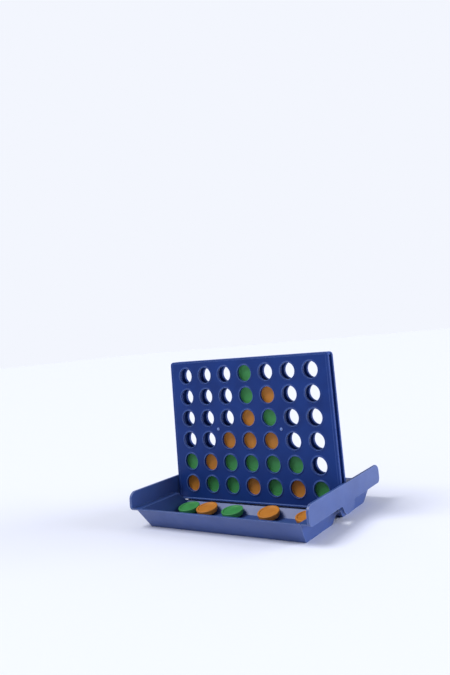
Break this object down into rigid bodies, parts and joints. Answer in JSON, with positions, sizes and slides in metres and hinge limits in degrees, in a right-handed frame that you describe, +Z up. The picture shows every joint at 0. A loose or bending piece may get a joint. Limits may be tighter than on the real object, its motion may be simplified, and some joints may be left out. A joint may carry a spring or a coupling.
{
  "type": "four in a row game",
  "caption": "Travel four in a row game: an upright perforated board that folds down over a low tray with two troughs and side flanges, holding two-colour counters.",
  "frame": {"origin": "centre of the tray's footprint, on the table", "axes": "+X to the right across the board, +Y away from the player, +Z up"},
  "size_m": [0.1164, 0.0886, 0.0903],
  "materials": {
    "tray_blue": "satin injection-moulded polystyrene",
    "board_blue": "satin injection-moulded polystyrene",
    "pin_blue": "satin moulded acetal",
    "green_counter": "semi-matt moulded polypropylene",
    "orange_counter": "semi-matt moulded polypropylene"
  },
  "bodies": {
    "tray": {"tray": "tray_blue"},
    "pivots": {"pivot_shoe_left": "pin_blue", "pivot_shoe_right": "pin_blue"},
    "board": {"front_panel": "board_blue", "rear_panel": "board_blue", "joining_pin_left": "pin_blue", "joining_pin_right": "pin_blue"},
    "column_1": {"disc_c1_r1": "orange_counter", "disc_c1_r2": "green_counter"},
    "column_2": {"disc_c2_r1": "green_counter", "disc_c2_r2": "orange_counter"},
    "column_3": {"disc_c3_r1": "green_counter", "disc_c3_r2": "green_counter", "disc_c3_r3": "orange_counter"},
    "column_4": {"disc_c4_r1": "orange_counter", "disc_c4_r2": "green_counter", "disc_c4_r3": "orange_counter", "disc_c4_r4": "orange_counter", "disc_c4_r5": "green_counter", "disc_c4_r6": "green_counter"},
    "column_5": {"disc_c5_r1": "green_counter", "disc_c5_r2": "green_counter", "disc_c5_r3": "orange_counter", "disc_c5_r4": "green_counter", "disc_c5_r5": "orange_counter"},
    "column_6": {"disc_c6_r1": "orange_counter", "disc_c6_r2": "green_counter"},
    "column_7": {"disc_c7_r1": "green_counter"},
    "front_disc_1": {"front_disc_1": "green_counter"},
    "front_disc_2": {"front_disc_2": "orange_counter"},
    "front_disc_3": {"front_disc_3": "green_counter"},
    "front_disc_4": {"front_disc_4": "orange_counter"},
    "front_disc_5": {"front_disc_5": "orange_counter"},
    "rear_disc_1": {"rear_disc_1": "green_counter"},
    "rear_disc_2": {"rear_disc_2": "orange_counter"},
    "rear_disc_3": {"rear_disc_3": "green_counter"},
    "rear_disc_4": {"rear_disc_4": "green_counter"},
    "rear_disc_5": {"rear_disc_5": "orange_counter"},
    "rear_disc_6": {"rear_disc_6": "green_counter"},
    "rear_disc_7": {"rear_disc_7": "orange_counter"},
    "rear_disc_8": {"rear_disc_8": "orange_counter"},
    "rear_disc_9": {"rear_disc_9": "orange_counter"},
    "rear_disc_10": {"rear_disc_10": "green_counter"},
    "rear_disc_11": {"rear_disc_11": "orange_counter"},
    "rear_disc_12": {"rear_disc_12": "orange_counter"},
    "rear_disc_13": {"rear_disc_13": "green_counter"},
    "rear_disc_14": {"rear_disc_14": "green_counter"},
    "rear_disc_15": {"rear_disc_15": "orange_counter"},
    "rear_disc_16": {"rear_disc_16": "orange_counter"}
  },
  "joints": [
    {"name": "board_fold", "type": "hinge", "parent": "tray", "child": "pivots", "pos_m": [0, 0, 0.0152], "axis": [1, 0, 0], "range_deg": [-90, 90]},
    {"name": "board_lift", "type": "slide", "parent": "pivots", "child": "board", "axis": [0, 0, 1], "range_m": [0, 0.0045]},
    {"name": "column_1_drop", "type": "slide", "parent": "board", "child": "column_1", "axis": [0, 0, 1], "range_m": [0, 0.081]},
    {"name": "column_2_drop", "type": "slide", "parent": "board", "child": "column_2", "axis": [0, 0, 1], "range_m": [0, 0.081]},
    {"name": "column_3_drop", "type": "slide", "parent": "board", "child": "column_3", "axis": [0, 0, 1], "range_m": [0, 0.081]},
    {"name": "column_4_drop", "type": "slide", "parent": "board", "child": "column_4", "axis": [0, 0, 1], "range_m": [0, 0.081]},
    {"name": "column_5_drop", "type": "slide", "parent": "board", "child": "column_5", "axis": [0, 0, 1], "range_m": [0, 0.081]},
    {"name": "column_6_drop", "type": "slide", "parent": "board", "child": "column_6", "axis": [0, 0, 1], "range_m": [0, 0.081]},
    {"name": "column_7_drop", "type": "slide", "parent": "board", "child": "column_7", "axis": [0, 0, 1], "range_m": [0, 0.081]},
    {"name": "front_disc_1_lift", "type": "slide", "parent": "tray", "child": "front_disc_1", "axis": [0, 0, 1], "range_m": [0, 0.03]},
    {"name": "front_disc_2_lift", "type": "slide", "parent": "tray", "child": "front_disc_2", "axis": [0, 0, 1], "range_m": [0, 0.03]},
    {"name": "front_disc_3_lift", "type": "slide", "parent": "tray", "child": "front_disc_3", "axis": [0, 0, 1], "range_m": [0, 0.03]},
    {"name": "front_disc_4_lift", "type": "slide", "parent": "tray", "child": "front_disc_4", "axis": [0, 0, 1], "range_m": [0, 0.03]},
    {"name": "front_disc_5_lift", "type": "slide", "parent": "tray", "child": "front_disc_5", "axis": [0, 0, 1], "range_m": [0, 0.03]},
    {"name": "rear_disc_1_lift", "type": "slide", "parent": "tray", "child": "rear_disc_1", "axis": [0, 0, 1], "range_m": [0, 0.03]},
    {"name": "rear_disc_2_lift", "type": "slide", "parent": "tray", "child": "rear_disc_2", "axis": [0, 0, 1], "range_m": [0, 0.03]},
    {"name": "rear_disc_3_lift", "type": "slide", "parent": "tray", "child": "rear_disc_3", "axis": [0, 0, 1], "range_m": [0, 0.03]},
    {"name": "rear_disc_4_lift", "type": "slide", "parent": "tray", "child": "rear_disc_4", "axis": [0, 0, 1], "range_m": [0, 0.03]},
    {"name": "rear_disc_5_lift", "type": "slide", "parent": "tray", "child": "rear_disc_5", "axis": [0, 0, 1], "range_m": [0, 0.03]},
    {"name": "rear_disc_6_lift", "type": "slide", "parent": "tray", "child": "rear_disc_6", "axis": [0, 0, 1], "range_m": [0, 0.03]},
    {"name": "rear_disc_7_lift", "type": "slide", "parent": "tray", "child": "rear_disc_7", "axis": [0, 0, 1], "range_m": [0, 0.03]},
    {"name": "rear_disc_8_lift", "type": "slide", "parent": "tray", "child": "rear_disc_8", "axis": [0, 0, 1], "range_m": [0, 0.03]},
    {"name": "rear_disc_9_lift", "type": "slide", "parent": "tray", "child": "rear_disc_9", "axis": [0, 0, 1], "range_m": [0, 0.03]},
    {"name": "rear_disc_10_lift", "type": "slide", "parent": "tray", "child": "rear_disc_10", "axis": [0, 0, 1], "range_m": [0, 0.03]},
    {"name": "rear_disc_11_lift", "type": "slide", "parent": "tray", "child": "rear_disc_11", "axis": [0, 0, 1], "range_m": [0, 0.03]},
    {"name": "rear_disc_12_lift", "type": "slide", "parent": "tray", "child": "rear_disc_12", "axis": [0, 0, 1], "range_m": [0, 0.03]},
    {"name": "rear_disc_13_lift", "type": "slide", "parent": "tray", "child": "rear_disc_13", "axis": [0, 0, 1], "range_m": [0, 0.03]},
    {"name": "rear_disc_14_lift", "type": "slide", "parent": "tray", "child": "rear_disc_14", "axis": [0, 0, 1], "range_m": [0, 0.03]},
    {"name": "rear_disc_15_lift", "type": "slide", "parent": "rear_disc_3", "child": "rear_disc_15", "axis": [0, 0, 1], "range_m": [0, 0.03]},
    {"name": "rear_disc_16_lift", "type": "slide", "parent": "rear_disc_12", "child": "rear_disc_16", "axis": [0, 0, 1], "range_m": [0, 0.03]}
  ]
}
